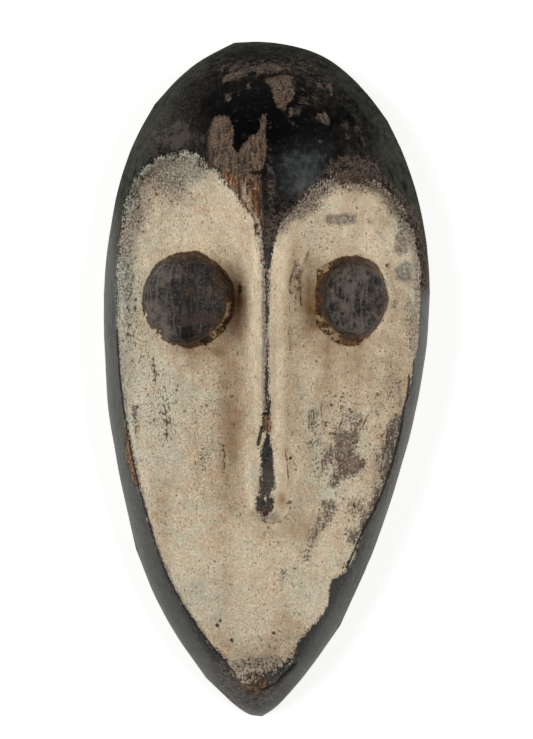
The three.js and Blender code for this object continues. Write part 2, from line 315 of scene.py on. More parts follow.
def pairs(numbers):
    """Turns a list of x, y, x, y and so on into rows of one point each."""
    return np.asarray(numbers, float).reshape(-1, 2)


def to_line(view, line, signed=False):
    """Distance of each place to a line through the given points, below 0 on its right if signed."""
    nearest = np.full(len(view), 1e9)
    line = pairs(line)
    if len(line) == 1:
        return np.hypot(*(view - line[0]).T)
    for a, b in zip(line[:-1], line[1:]):
        along, off = b - a, view - a
        t = np.clip(off @ along / (along @ along), 0, 1)
        away = np.hypot(*(off - t[:, None] * along).T)
        side = np.sign(along[0] * off[:, 1] - along[1] * off[:, 0]) if signed else 1
        nearest = np.where(away < np.abs(nearest), away * side, nearest)
    return nearest


def within(view, outline, far=6.0):
    """How deep each place lies inside a closed outline, in mm, and below 0 outside it."""
    outline = pairs(outline)
    depth = np.full(len(view), -far)
    low, high = outline.min(0) - far, outline.max(0) + far
    close = np.all((view > low) & (view < high), axis=1)
    near = view[close]
    ring = np.vstack([outline, outline[:1]])
    inside = np.zeros(len(near), bool)
    for a, b in zip(ring[:-1], ring[1:]):
        crosses = (a[1] > near[:, 1]) != (b[1] > near[:, 1])
        rise = b[1] - a[1] if b[1] != a[1] else 1e-9
        inside ^= crosses & (near[:, 0] < a[0] + (near[:, 1] - a[1]) / rise * (b[0] - a[0]))
    depth[close] = np.where(inside, 1, -1) * np.minimum(to_line(near, ring), far)
    return depth


def rounded(line, closed=False, steps=5):
    """A smooth curve through three or more points; fewer stay as they are."""
    line = pairs(line)
    count = len(line)
    if count < 3:
        return line
    curve = []
    for i in range(count if closed else count - 1):
        picks = [i - 1, i, i + 1, i + 2]
        picks = [p % count if closed else min(max(p, 0), count - 1) for p in picks]
        p0, p1, p2, p3 = line[picks]
        for t in np.arange(steps) / steps:
            curve.append(
                0.5 * (2 * p1 + (p2 - p0) * t + (2 * p0 - 5 * p1 + 4 * p2 - p3) * t**2
                       + (3 * p1 - p0 - 3 * p2 + p3) * t**3)
            )
    if not closed:
        curve.append(line[-1])
    return np.array(curve)


def towards_camera(normals):
    """1 where the surface faces the camera, down to 0 where it faces away."""
    return ramp(normals[:, 2], -0.05, 0.25)


view = front(points)
facing = towards_camera(normals)
print("front view spans", np.round(view.min(0), 1), "to", np.round(view.max(0), 1))

# %% [markdown]
# ## The outline of the white face
# The white earth covers the hollowed face: two lobes over the eyes, the cheeks, and a point at the
# chin. It runs down both sides of the nose and leaves the nose's narrow top bare. One closed
# outline goes round all of it, eaten away in bays on the right, where the paint has gone from the
# edge.

# %% Outline of the white
LEFT_LOBE = [
    -4.3, 47.6, -6.8, 51.2, -9, 54.8, -11.8, 58.4, -15.2, 62.2, -19.5, 65.6, -25.4, 66.8,
    -29.9, 65.6, -34.3, 63.2, -37.3, 60.3, -39.4, 55.9, -42, 47, -43.8, 33.7,
]
LEFT_CHEEK = [
    -44.1, 14.4, -43, -1, -41.1, -15.2, -37.9, -30.6, -35.2, -40.3, -32.3, -50.1, -27.8, -61,
    -21.8, -71.2, -15.8, -79.3, -9.6, -86.6,
]
CHIN = [-5.6, -90, -1, -87.6, 3.5, -85.5, 7.1, -82.6]
RIGHT_CHEEK = [
    10.5, -77, 15.2, -71.4, 18.2, -66.9, 18.9, -60.8, 22.2, -58, 24.5, -55.6, 26.6, -52.2,
    28.1, -44.8, 31.4, -38.8, 34.3, -31.4, 36.7, -24, 39.9, -13.7, 42.6, -1.8, 44.7, 9,
]
RIGHT_LOBE = [
    45.6, 20.3, 45.5, 30.3, 44.9, 37.8, 43.2, 44.4, 40.7, 50.3, 37, 54.4, 32.4, 58.1, 29.1, 60.5,
    25.8, 61.7, 22.5, 61.6, 17.5, 58.6, 13.3, 55.4, 7.8, 49.8, 4.8, 46.4, 3, 42.5, 1.9, 37.8,
]
NOSE_RIGHT = [
    1.2, 32.2, 1.1, 23.3, 1.3, -6.3, 1.4, -16.3, 1.6, -21.7, 2.2, -28.2, 2.7, -32.6, 2.3, -37.8,
]
NOSE_LEFT = [
    -0.3, -41.2, -2.7, -38.2, -2.5, -32.6, -1.9, -26.1, -1.3, -21.3, 0, -17.8, 0.5, -15.8,
    -0.6, -15, -1.1, -12, -1.2, -6.3, -0.5, 8.5, -0.6, 23.3, -1.2, 33.7, -2.1, 38.7, -3.3, 43.4,
]
around_face = LEFT_LOBE + LEFT_CHEEK + CHIN + RIGHT_CHEEK + RIGHT_LOBE + NOSE_RIGHT + NOSE_LEFT
face_outline = rounded(around_face, closed=True, steps=3)
print("the white's outline has", len(face_outline), "points")

# %% [markdown]
# ## Carve what the tools and time left
# Now the skin gets its relief: broad lumps of hand work, the flats that a knife left on the eye
# stubs, and grooves for cracks. A groove is deepest on its line and fades within its width. Only
# what faces the camera is grooved, so that a crack in the cheek doesn't also mark the hollow behind
# it. A swell moves a stretch of the side wall or the chin outwards, by half a millimetre at most.

# %% A function that presses a groove, and the broad unevenness of hand work
def press(lines, width, depth, ragged=0.35, seed=1):
    """Presses grooves along lines in the front view, width and depth in mm."""
    for number, line in enumerate(lines):
        wander = 1 + ragged * lumps(points * GRAIN, 2.2, seed + number)
        away = to_line(view, rounded(line)) / (width * wander)
        drop = depth * np.exp(-away * away) * facing
        points[:] -= normals * drop[:, None]


BROAD, SMALL, RIDGES = 0.16, 0.05, 0.04
SWELLS = [(1, 24, 22, 0.4), (-1, -9, 9, 0.35), (-1, 56, 14, 0.3), (-1, 92, 6, 0.35)]
CHIN_SWELL = 0.5

points += normals * (BROAD * lumps(points, 17.0, 3) + SMALL * lumps(points, 5.0, 4))[:, None]
points += normals * (RIDGES * facing * lumps(points * GRAIN, 1.6, 5, 3))[:, None]
for side, middle, half, swell in SWELLS:
    there = np.exp(-(((points[:, 1] - middle) / half) ** 2)) * ramp(side * points[:, 0], 8, 20)
    points[:, 0] += side * swell * there
points[:, 1] -= CHIN_SWELL * ramp(-points[:, 1], 88, 99)
print("broad relief done, with", len(SWELLS) + 1, "swells")

# %% [markdown]
# ## Knife flats on the eye stubs
# The stubs were trimmed with a knife, a cut at a time, so from above each is a polygon with many
# soft corners and crumbled rims. The middle of a flat lies nearer to the axis than its corners, by
# the cosine of half the angle that one flat spans. Two cuts low on the left stub went deeper.

# %% Cut the flats and crumble the rims
EYE_FEET = {"left": ((-22.8, 23.4), (13.4, 14.3)), "right": ((25.4, 23.3), (10.9, 13.3))}
EYE_FLATS = {"left": 10, "right": 13}
FULL_WIDTH = 1.01
DEEP_CUTS = [((-12.8, 13.2), 0.09), ((-33.0, 16.5), 0.06)]
CUT_SIZE = 4.5
CRUMBS = [(0.22, 2.6, 61), (0.14, 1.3, 62)]
TOP_LUMPS = (0.34, 6.0, 63)


def reach_of(middle, halves):
    """How far each place is from the middle of an oval: 1 is on its edge."""
    return np.hypot(*((view - middle) / halves).T)


for side, (middle, halves) in EYE_FEET.items():
    reach = reach_of(middle, halves)
    around = np.arctan2(*((view - middle) / halves).T)
    flats = EYE_FLATS[side]
    turn = around * flats / (2 * np.pi) + 0.18 * np.sin(2 * around) + 0.12 * np.sin(3 * around + 1)
    off_middle = (turn - np.floor(turn) - 0.5) * 2 * np.pi / flats
    inward = FULL_WIDTH - np.cos(np.pi / flats) / np.cos(off_middle)
    for corner, cut in DEEP_CUTS:
        inward += cut * np.exp(-(((view - corner) / CUT_SIZE) ** 2).sum(axis=1))
    on_side = ramp(reach, 0.70, 0.86) * (1 - ramp(reach, 1.02, 1.10)) * facing
    points[:, :2] += (np.array(middle) - view) * (inward * on_side)[:, None]
    crumble = sum(depth * lumps(points, size, seed) for depth, size, seed in CRUMBS)
    points += normals * (crumble * on_side)[:, None]
    on_top = (1 - ramp(reach, 0.80, 0.95)) * facing
    depth, size, seed = TOP_LUMPS
    points += normals * (depth * lumps(points, size, seed) * on_top)[:, None]
print("cut", EYE_FLATS["left"], "and", EYE_FLATS["right"], "flats")

# %% [markdown]
# ## Cracks, holes and bruises
# Wood cracks along its grain, so most of these lines run up and down. The longest are beside the
# nose, under the left eye and across the chin, where a sliver is about to come away. A gouge has
# lifted a chip from the side of the nose, and a beetle has left one round hole in the right lobe.
# Widths and depths are in millimetres.

# %% Press the cracks and holes
CRACKS_BY_NOSE = [
    [12.3, 37.2, 11.3, 34.5, 10.4, 32, 9.4, 30.3, 9.8, 27.8, 8.8, 24.4, 8.6, 20.4],
    [8.6, 34.2, 7.9, 31.2, 6.9, 27.8, 7.3, 25.4],
    [10.6, 28.2, 10.1, 24.9, 10.5, 22],
]
CHEEK_CRACKS = [
    [-33.2, 5.3, -32.8, 0.1],
    [-30, -8.1, -29.4, -11.6, -29.3, -17.7],
    [-12.6, -19.9, -12.2, -23.3, -12.3, -26.8],
]
SCUFF_CRACKS = [
    [12.7, -9.7, 12.8, -14.6], [14.1, -9.2, 14.5, -16.4], [16.4, -7.6, 16.4, -12.8],
    [27.3, -16.2, 30.1, -10.9], [26, -15.8, 28.4, -11.3], [21.8, -14.1, 22.8, -10.9],
    [16.7, -23.8, 16.7, -27.5], [34, -17.5, 36.2, -14.2],
]
NOSE_CREASE = [5.6, -21, 6.5, -27.5, 6.5, -31.8, 6.1, -36.6]
NOSE_FOOT = [
    [-4.1, -37.9, -2, -39.2, -0.2, -40.9],
    [-0.2, -40.9, 1.6, -41.8, 3.3, -41.2, 5.4, -40.1, 6.9, -37],
]
FAINT_CRACK = [-7.2, -3.8, -10.2, -6.4, -11.7, -9.9, -12, -13.3]
FOOT_SHADE = [
    [-5.6, -38.4, -2.8, -41, -0.2, -42.4],
    [1.4, -42.9, 4.2, -42.3, 6.6, -39.8, 7.4, -36.4],
]
CHIN_CRACK = [8.2, -84.6, 6.7, -86.4, 4.8, -88, 2.6, -90.3, -1, -92.1]
NOSE_GOUGE = [-1.3, -14.7, -1.8, -17.1, -2.3, -19.3]
NOSE_CHIP = [0.3, -10.8, 0.5, -15.6]
BROW_WRINKLE = [-15, 8, -13.4, 10.2]
DARK_SPOTS = [[7.2, -23.5], [-14.4, -73], [2.4, -75.3], [-13.5, -71.5], [-10.1, -77.5]]
BEETLE_HOLE = [[35.8, 33.7]]
RIGHT_ARRIS = [
    42.3, 0.7, 41.9, -4.5, 40.6, -9.7, 39.7, -15.8, 38.4, -21, 37.5, -24.5, 35.8, -29.7,
    33.6, -35.3, 31.5, -39.7, 29.3, -43.6, 27.5, -47.5, 24.5, -54.5,
]
FLAKES_AT = (9.2, 28.0)
FLAKES_REACH = (3.2, 10.0)
FLAKE_RISE = 0.6
FLAKE_GRAIN = np.array([1.0, 0.4, 1.0])
ARRIS_WIDTH = 1.8
CHIP_DEPTH = 0.55

press(CRACKS_BY_NOSE, 0.6, 0.6)
press(CHEEK_CRACKS + [FAINT_CRACK], 0.45, 0.25)
press(SCUFF_CRACKS, 0.4, 0.2)
press([NOSE_CREASE], 0.6, 0.45)
press(NOSE_FOOT, 0.8, -0.8)
press(FOOT_SHADE, 0.7, 0.5)
flaky = np.exp(-(np.hypot(*((view - FLAKES_AT) / FLAKES_REACH).T) ** 2)) * facing
points += normals * (FLAKE_RISE * flaky * lumps(points * FLAKE_GRAIN, 1.9, 67))[:, None]
press([CHIN_CRACK], 0.5, 0.6)
press([NOSE_GOUGE], 0.7, 1.5)
press([NOSE_CHIP], 0.9, 0.5)
press([BROW_WRINKLE], 0.9, -0.3)
press(DARK_SPOTS, 0.5, 0.4, ragged=0.1)
press(BEETLE_HOLE, 0.55, 1.2, ragged=0)

near_arris = np.exp(-((to_line(view, RIGHT_ARRIS) / ARRIS_WIDTH) ** 2)) * facing
chipped = near_arris * np.maximum(lumps(points, 4.0, 65) + 0.3 * lumps(points, 1.4, 66), 0)
points -= normals * (CHIP_DEPTH * chipped)[:, None]
normals = normals_of(skin, points)
print("cracks pressed; chips on", int((chipped > 0.2).sum()), "points")

# %% [markdown]
# ## Gouge marks in the hollow back
# The back is hollowed with a gouge along the grain: long shallow scoops side by side, with low
# crests between them, which tell a carved mask from a cast one. The crests come from the distance
# to the middle of the nearest scoop in a staggered grid.

# %% Scoop the hollow
SCOOP_WIDTH = 7.5
SCOOP_LENGTH = 26.0
SCOOP_DEPTH = 0.7

across = points[:, 0] + 1.6 * lumps(points, 20.0, 8)
row = np.floor(across / SCOOP_WIDTH)
along = points[:, 1] / SCOOP_LENGTH + 0.37 * row + 0.25 * lumps(points, 14.0, 9)
from_middle = 2 * np.abs(across / SCOOP_WIDTH - row - 0.5)
from_end = 2 * np.abs(along - np.floor(along) - 0.5)
crest = np.maximum(from_middle**2, 0.8 * from_end**3)
in_hollow = ramp(-normals[:, 2], 0.15, 0.5) * ramp(points[:, 2], 0.6, 2.5)
points -= normals * (SCOOP_DEPTH * (crest - 0.5) * in_hollow)[:, None]
print("scooped points:", int((in_hollow > 0.5).sum()))

# %% [markdown]
# ## Spend the triangles where they show
# One piece may hold fewer than 200,000 triangles, and the face deserves most of them. The Decimate
# modifier merges triangles where a vertex group allows it: freely in the hollow, less on the side
# walls, and not on the face.

# %% Thin out the back
TRIANGLES = 192_000
FAVOUR = 10

normals = normals_of(skin, points)
group = mask.vertex_groups.new(name="back")
weights = 1 - ramp(normals[:, 2], -0.1, 0.5)
levels = np.round(weights * 10) / 10
for level in np.unique(levels[levels > 0]):
    group.add(np.flatnonzero(levels == level).tolist(), float(level), "REPLACE")
fewer = mask.modifiers.new("fewer triangles", "DECIMATE")
fewer.ratio = TRIANGLES / (2 * len(skin.polygons))
fewer.vertex_group = "back"
fewer.vertex_group_factor = FAVOUR
evaluated = mask.evaluated_get(bpy.context.evaluated_depsgraph_get())
final = bpy.data.meshes.new_from_object(evaluated)
mask.modifiers.clear()
mask.vertex_groups.clear()
mask.data = final
bpy.data.meshes.remove(skin)
final.name = "painted_mask"
final.shade_smooth()

points = points_of(final)
points[:, 2] = np.maximum(points[:, 2], 0)
normals = normals_of(final, points)
ends = edges_of(final)
view = front(points)
facing = towards_camera(normals)
print("kept", len(final.polygons), "faces;", int(facing.sum()), "points face the camera")


# %% [markdown]
# ## Maps for the finishes
# The shader needs to know where each finish is. Each map is one number per point. For the paints it
# is a cover: 0 is the edge of the paint, 1 and more is whole paint, and below 0 there is none. The
# shader adds noise of about that size before it cuts, so a cover of a half is paint with flecks
# knocked out of it, and a slow change of cover is a soft, dusty edge.

# %% Store a number per point
def keep_map(name, values, low=0.0, high=1.0):
    """Stores one number per point of the mask for the shader, held between low and high."""
    values = np.clip(values, low, high)
    layer = final.attributes.new(name, "FLOAT", "POINT")
    layer.data.foreach_set("value", values.astype(np.float32))
    print("map", name, "has a mean of", round(float(values.mean()), 2))


def spots(*places):
    """Soft spots in the front view, each (strength, x, y, width, height) in mm, added up."""
    total = np.zeros(len(view))
    for strength, x, y, wide, high in places:
        reach = ((view[:, 0] - x) / wide) ** 2 + ((view[:, 1] - y) / high) ** 2
        total += strength * np.exp(-reach)
    return total


def thin(cover, places):
    """Lowers a cover inside soft spots, each (cover left there, x, y, width, height)."""
    for left, *place in places:
        cover = np.minimum(cover, left + 2.2 * (1 - spots((1.0, *place))) ** 1.5)
    return cover


def beside(line, width):
    """1 on a line in the front view, fading to 0 over about width mm."""
    return np.exp(-((to_line(ragged_view, line) / width) ** 2))


drift = [lumps(points * GRAIN**0.5, 2.6, seed) for seed in (21, 22)]
ragged_view = view + 0.5 * np.stack(drift, axis=1)
print("map helpers ready")

# %% [markdown]
# ## Where the white is, and where it has gone
# The white is whole inside its outline. Its edge is crisp along the nose and the cheeks, and soft
# and speckled over the lobes and at the chin. Scuffs brush it away down to a few flecks: the dark
# patch and the slanting streak on the right cheek, and the worn right edge. A little is left beside
# the orange breaks under the forehead and along the left half of the nose's top.

# %% Map of the white
SCUFFS = {
    "right cheek": [
        20.6, -16.2, 23.6, -15.6, 27.5, -15.8, 27.8, -18, 26.2, -21.9, 29.7, -24.5, 28.9, -27.1,
        26.2, -28.4, 22.8, -30.5, 20.6, -32.5, 18.7, -32.3, 19.7, -29.2, 21, -25.3, 20.2, -21.9,
    ],
    "slanting streak": [
        16.3, -35.7, 19.3, -35.3, 20.6, -38.8, 18.4, -42.7, 16.4, -46.2, 14.6, -48.3, 12.8, -51.4,
        11.9, -54.2, 10.2, -53.1, 11.5, -50.9, 13, -48.3, 12.2, -45.7, 14.1, -42.7, 15.4, -39.2,
    ],
    "beside the cheek": [16.7, -20.6, 19.2, -20.1, 19.8, -22.7, 18.4, -25.8, 17.6, -27.9],
    "dash": [11.7, -18.4, 15.8, -18.4, 15.8, -19.3, 12.2, -19.4],
    "right edge upper": [
        39.3, -11, 41.5, -8, 40.9, -15.8, 39.6, -21.9, 38.1, -26.2, 36.8, -29.8, 33.6, -27.5,
        34.1, -23.6, 34.5, -19.3, 35.8, -15.8, 37.1, -12.3,
    ],
    "right edge middle": [
        35.6, -31, 34.9, -35.4, 33.7, -38.5, 30.6, -43.4, 28.6, -45.4, 27.1, -44.9, 28, -41.4,
        30.2, -38.4, 31.5, -34.9, 31.9, -32.3,
    ],
    "right edge lower": [28.4, -44, 27.1, -47.9, 25.4, -49.2, 24.1, -47.5, 23.6, -44.9],
    "left edge": [-40.4, -8.1, -37.8, -7.9, -38, -13.3, -37.8, -17.7, -39.4, -12.3],
}
RESIDUE = [
    [
        -7.2, 58.3, -6.1, 58.5, -5.5, 54.4, -4.4, 51, -2.4, 47.5, -1.3, 44.3, -1, 41, -0.7, 35,
        -1.4, 35, -2, 41, -2.3, 44.6, -3.5, 47.5, -5.6, 50.8, -6.8, 54.4,
    ],
    [-1.3, 35, -0.3, 35, 0, 20, 0.2, 0, 0, -10, -1.2, -10, -1, 0, -1.1, 20],
]
EDGE_SOFTNESS, SCUFF_SOFTNESS, RESIDUE_SOFTNESS = 0.5, 1.4, 0.3
BRUSHED = -0.2
NO_PAINT = -2.0
LOBE_RIM = LEFT_LOBE[10:24]

inside = within(ragged_view, face_outline)
softness = EDGE_SOFTNESS + spots(
    (1, -27, 62, 15, 9), (1.2, -41, 42, 5, 16), (1.6, 22, 58, 20, 7), (2.2, 0, -86, 12, 6),
    (0.8, 35, -30, 6, 20), (0.6, -37, -30, 5, 20), (-0.32, 0.2, -30, 4, 11), (-0.28, 0.4, 8, 3, 26),
)
white = inside / softness
for outline in RESIDUE:
    white = np.maximum(white, within(ragged_view, outline) / RESIDUE_SOFTNESS)
scuffed = np.zeros(len(points))
for outline in SCUFFS.values():
    deep = within(ragged_view, outline)
    scuffed = np.maximum(scuffed, ramp(deep, -2.0, 0.0))
    white = np.minimum(white, np.maximum(0.4 - deep / SCUFF_SOFTNESS, BRUSHED))
keep_map("scuffed", scuffed * (1 - 0.6 * ramp(view[:, 0], 30, 34)))
white = thin(white, [
    (0.35, -28, 65, 13, 2.6), (0.5, -30, 58, 12, 6), (0.45, -38, 50, 6, 11),
    (0.5, -42, 32, 2.6, 18), (0.3, 5, 44.5, 3, 3), (0.15, 9.5, 49, 4, 3), (0.1, 13, 52, 5, 4),
    (-1, 26, 61, 12, 3.6), (0.5, 25, 56, 14, 2), (0, 16.5, 55.5, 4, 3),
    (0.5, -20, 60.5, 4, 3.5), (-0.3, 39, 56.5, 4, 3), (0.45, 39, 51, 5, 5), (0.4, 41, 46, 4, 6),
    (0.6, 42, 15, 3, 16), (0.7, 23, -17, 8, 12), (0.8, 17, -41, 4, 8), (0.5, 14, -12, 2.5, 6),
    (0.45, 26, -12, 5, 5), (0.5, 34, -28, 4, 16), (-0.2, -18.5, 63.5, 3.5, 2.6),
    (0.3, 24, -55, 4, 3), (0.4, 13, -75, 5, 2.5), (0.4, 27, -38, 5, 6), (0.8, 7.2, 11, 1.2, 8),
    (0.5, -18.6, -23, 1.4, 6), (-0.5, 1, -89, 9, 3.5), (0.3, 0, -84, 12, 3),
    (0.35, 9.5, 30, 1.8, 6), (0.4, 5.5, -58, 2, 3), (0.6, -36, 8, 2.5, 8), (0.3, -7, -85, 8, 3),
    (0.2, 38, 22, 1.2, 2),
])
white += spots(
    (1.2, 18, -34, 2.5, 1.5), (1.2, 26, -33, 3, 2), (0.6, 15, -42, 4, 9), (0.4, 17, -20, 3, 6),
)
white = np.maximum(white, spots((2.3, -0.2, -35.6, 0.8, 1.4)) - 1.8)
lobe_rim = beside(LOBE_RIM, 0.8)
white += 0.5 * lobe_rim
white = np.where(normals[:, 2] > 0.0, white, NO_PAINT)
keep_map("white", white, NO_PAINT, 2)

# %% [markdown]
# ## Where the black is
# Everything outside the white was blackened: the domed forehead, the side walls and the nose's
# narrow top. On the forehead flakes have come off and show bare wood. Under the white lies a thin
# ground that is mostly brown. The hollow back was never blackened.

# %% Map of the black
BARE_PATCHES = {
    "left scar": [
        -15.3, 77.6, -11.7, 78.1, -9.7, 76.1, -9.2, 73, -9.8, 68.7, -7.6, 66.9, -6.9, 69.5,
        -4.6, 71.5, -2.3, 72.8, -1.3, 75.1, -0.8, 78.4, 0.4, 78.4, 0.5, 74.6, 0.3, 70.5, -0.2, 65.4,
        -1, 62.3, -5.1, 61.3, -9.7, 60.3, -13.7, 61.8, -16.8, 64.4, -17.1, 69.5, -16.5, 73.5,
    ],
    "middle flake": [
        0, 88.3, 0.5, 89.2, 4.6, 90, 7.4, 89.3, 7.9, 87.3, 8.6, 84.2, 7.7, 83, 6.1, 81.7, 5.6, 79.4,
        4.1, 80.1, 2.6, 81.2, 1.3, 84.8, 1.6, 86.3,
    ],
    "upper flake": [-12.9, 89.2, -9.7, 91, -5.6, 91.6, -5.6, 89.6, -9.7, 88.6, -12.4, 87.8],
    "crown left": [-2.5, 92.4, -0.5, 92.8, -0.9, 90.4, -3, 89.6],
    "crown right": [0.5, 93, 4.1, 92.8, 5.9, 91.6, 4.1, 90.8, 2.1, 91.8],
    "fleck": [-6.1, 87.3, -4.6, 87.9, -4.7, 85.8, -5.8, 85.7],
    "right flake": [14.5, 78.6, 17.8, 79.2, 18.8, 76.1, 18.4, 75, 16.3, 75.6, 14.8, 76.9],
    "right hook": [
        15, 87, 16.3, 87.6, 17.6, 86.5, 19.1, 88.3, 20, 84.8, 19.3, 83.6, 17.8, 85.7, 15.8, 85.8,
    ],
    "left fleck": [-12.7, 83.7, -10.7, 84.2, -9.9, 82.7, -11.7, 81.7],
    "right fleck": [6.4, 80.2, 7.7, 80.4, 8.1, 78.4, 6.9, 77.5],
    "nose chip": [-0.7, -10.6, 1.3, -10.1, 1.5, -12.4, 1.1, -15.4, 0.2, -16, -0.5, -14.5],
    "left arris": [
        -41.8, -12.7, -41.1, -15.2, -39.7, -18.6, -39.1, -22.6, -37.8, -27.5, -37, -31.9,
        -38.6, -32.4, -39.9, -29.9, -41, -25, -41.6, -19.6,
    ],
    "wedge": [
        -15.5, 61.5, -5.1, 61, -1.2, 60.8, -0.8, 50.1, -0.8, 44, -2.4, 38, -6.2, 45.4, -9.3, 49.6,
        -12.3, 53.5, -14.5, 57.6,
    ],
}
RIGHT_BAND = [
    2.1, 41.6, 5, 46.5, 10, 50.6, 14, 54, 18, 58.5, 22.5, 61.8, 26, 61.8, 30, 60.4, 34, 57,
    38, 53.8, 41.5, 50, 44, 44, 45.4, 37, 46, 28,
]

outside = 0.4 - within(view, face_outline) + 0.6 * lumps(points * GRAIN**0.5, 3.2, 68)
black = np.where(outside > 0, 1.0 + outside, -0.5)
for outline in BARE_PATCHES.values():
    black = np.minimum(black, 0.1 - within(ragged_view, outline) / 0.7)
band = beside(RIGHT_BAND, 3.0)
black = thin(black, [
    (0.2, -10, 92, 13, 2.2), (0.3, 16, 88, 7, 3), (0.4, 3, 93.5, 9, 2), (0.7, -25, 74, 9, 12),
    (0.1, 25, 63.5, 5, 1.6), (-0.7, 0.4, 12, 1.6, 26), (-0.2, -3.5, -91, 7.5, 4.5),
    (0.6, 27, 68, 8, 5), (0.6, -9, 84, 7, 3), (0.3, 13, 84, 7, 5), (0.15, 0, 91.5, 15, 2),
    (0.45, 0.4, -28, 3, 14), (-1.2, 22, -24, 12, 14), (-1, 15, -45, 8, 10),
    (-0.6, 0, -39.6, 2.2, 1.4),
])
behind = ramp(-normals[:, 2], 0.1, 0.5)
black = np.where(behind > 0.3, NO_PAINT + 1.6 * lumps(points, 9.0, 31), black)
keep_map("black", black, NO_PAINT, 3)

# %% [markdown]
# ## Wood, worn black and dust
# Where both paints are gone there is wood: dry and grey-brown where it was bared long ago, orange
# where the break is fresher. The black is crumbled and reddish round the right lobe, deep in the
# middle of the forehead, and rubbed thin in mottles left of it. Dust greys the walls.

# %% Maps of the wood and the black
fresh = spots(
    (0.7, -3.2, 55, 2.4, 5.5), (1.2, -10.6, 57.5, 3, 4), (1.8, 0.4, -13, 1.6, 3.6),
    (0.8, -7, 50, 3, 4), (0.8, -2.4, 46, 1.4, 5), (0.25, -2, 68, 2.5, 7), (0.15, 5, 86, 4, 5),
    (1, 0, -40, 3, 1.6), (0.7, -3.5, -90.5, 6, 3), (0.35, 22, -28, 3, 5), (0.5, 34, -36, 3, 8),
    (0.4, 26, -53, 2, 6),
)
left_arris = ramp(within(view, BARE_PATCHES["left arris"]), -0.6, 0.3)
keep_map("fresh", fresh + 0.8 * left_arris)

rust = 0.95 * band + 0.5 * beside(RIGHT_ARRIS, 1.3)
rust += spots(
    (0.5, 0, 92, 24, 4), (1, -4, -91.5, 8, 6), (0.8, 25, 63, 7, 3), (0.5, -1, 30, 1.5, 20),
    (0.6, 1.4, 56, 1.4, 13), (0.9, 0, -39, 3, 2), (0.5, -12, -84, 3, 8), (0.3, 28, -60, 6, 14),
    (0.42, 0.2, -31, 3, 9), (0.4, 0.4, 4, 2, 18),
)
keep_map("rust", rust)

soot = 0.35 + spots(
    (0.9, -5, 78, 14, 13), (0.5, 12, 66, 9, 12), (0.3, 22, 74, 9, 7), (-0.35, -28, 72, 10, 12),
    (-0.6, 0.4, -26, 3, 14), (0.1, 0, 96, 34, 4),
)
keep_map("soot", soot + 0.15 * lumps(points, 5.0, 53))

worn = spots(
    (0.85, -25, 70.5, 9, 4), (0.25, -28, 76, 8, 6), (0.2, 0, 96, 30, 3), (0.25, 27, 68, 9, 8),
    (0.2, 0, 92, 18, 3), (0.3, 11, 79, 8, 8), (0.2, 0, -92, 14, 8), (0.95, 0.2, -30, 3, 11),
)
keep_map("worn", worn + 0.12 * lumps(points, 4.0, 58))

wall = ramp(np.abs(normals[:, 0]), 0.45, 0.8) * ramp(normals[:, 2], 0.75, 0.4)
dust = 0.55 * wall * (1 - spots((0.8, 0, 100, 45, 34), (0.85, 0, -98, 40, 30)))
dust = np.maximum(dust, 0.4 * ramp(normals[:, 2], 0.65, 0.3) * ramp(view[:, 1], 40, 60))
keep_map("dust", dust + 0.08 * lumps(points, 9.0, 54))
polish = (1 - ramp(view[:, 1], 26, 54)) * (1 - 0.6 * wall) - 0.5 * band
polish += spots((0.5, 10, 62, 9, 10), (0.08, -4, 80, 12, 10), (-0.8, 0.4, -15, 5, 40))
keep_map("polish", polish)

# %% [markdown]
# ## Eye stubs and dried resin
# The eye stubs are the same block of wood. Their tops were blackened and are rubbed to a dull dark
# grey, and knife and wear have bared their brown sides. Chips at the rims show the pale ground. A
# thread of dried resin runs down beside the left stub.

# %% Maps of the eye stubs and the resin
EYE_TOPS = {"left": ((-23.4, 23.5), (13.2, 14.2)), "right": ((25.8, 23.7), (10.2, 12.3))}
RIM_CHIPS = [
    [
        -11.6, 22.9, -10.5, 23.3, -10.2, 20.8, -11, 18.6, -13.4, 15, -16.6, 12.2, -17.2, 12.9,
        -14.2, 15.6, -12.4, 18.3, -11.7, 20.4,
    ],
    [14.4, 32.4, 16.7, 34.6, 20.4, 34.8, 19.8, 32.2, 17.6, 30.9, 15.8, 29.2],
    [14.2, 18.7, 16, 19.6, 18.3, 16.4, 22.6, 13.1, 21.5, 11.4, 17.3, 13, 15.2, 15.4],
    [-32.4, 15.4, -30.6, 15, -30.3, 13.7, -32, 13.3],
]
RESIN = [
    -13.6, 32.6, -12.6, 31, -10.9, 29.1, -9.9, 27.5, -9.7, 25, -9.9, 20.8, -9.4, 19.6, -10.7, 17.8,
    -12.2, 16.3, -12.8, 14.4,
]


def inside_oval(middle, halves):
    """How deep each place lies inside an oval in the front view, in mm."""
    return (1 - np.hypot(*((ragged_view - middle) / halves).T)) * min(halves)


cap = np.maximum(inside_oval(*EYE_TOPS["left"]), inside_oval(*EYE_TOPS["right"]))
stub = np.maximum(inside_oval(*EYE_FEET["left"]), inside_oval(*EYE_FEET["right"]))
stub += spots(
    (1.9, 15.8, 32, 2.8, 2.8), (1.5, 15.4, 16, 3, 3.5), (0.8, 23, 11, 4, 2),
    (-0.9, -36.5, 22, 4, 16), (-0.6, -30, 12, 5, 4), (-1.2, 33, 15, 5, 6),
)
crumbs = spots((0.4, 16, 15, 3, 4), (0.4, 15, 31, 3, 3), (0.3, -12, 15, 3, 3),
               (0.6, -36, 22, 3, 12))
for outline in RIM_CHIPS:
    chip = within(ragged_view, outline)
    cap = np.minimum(cap, 0.2 - chip)
    crumbs = np.maximum(crumbs, 0.65 * ramp(chip, -0.5, 0.5))
cap = np.where(normals[:, 2] > 0.2, cap, -1.0)
keep_map("cap", cap, -2, 4)
keep_map("stub", stub, -2, 4)
keep_map("crumbs", crumbs + 0.25 * lumps(points, 2.0, 60))
